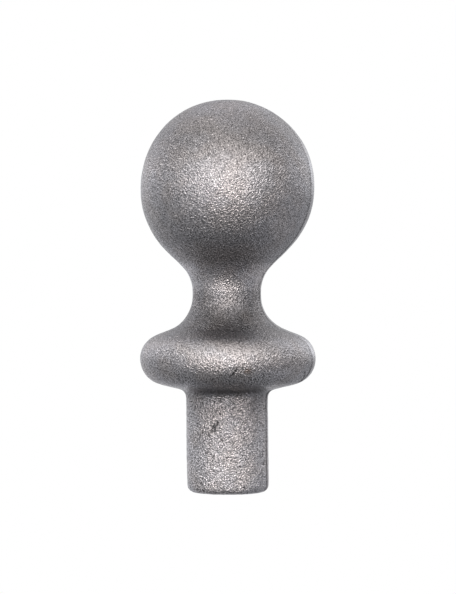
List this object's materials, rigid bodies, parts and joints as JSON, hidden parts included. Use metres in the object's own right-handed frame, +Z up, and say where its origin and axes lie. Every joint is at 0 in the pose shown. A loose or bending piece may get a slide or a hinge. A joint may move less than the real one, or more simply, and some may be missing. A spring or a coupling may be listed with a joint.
{
  "type": "ball finial",
  "caption": "Cast iron ball finial: a ball on a waisted neck over a rounded collar, with a plain round spigot that drops into an open railing post.",
  "frame": {"origin": "centre of the spigot's flat end, which the finial stands on", "axes": "+Z up along the turned axis, from the spigot's end to the top of the ball; -Y faces the viewer"},
  "size_m": [0.0506, 0.0506, 0.1133],
  "materials": {
    "bare_cast_iron": "bare grey iron as cast and shot-blasted, with a fine grainy skin and a soft metallic sheen"
  },
  "bodies": {
    "root": {"ball_finial": "bare_cast_iron"}
  },
  "joints": []
}
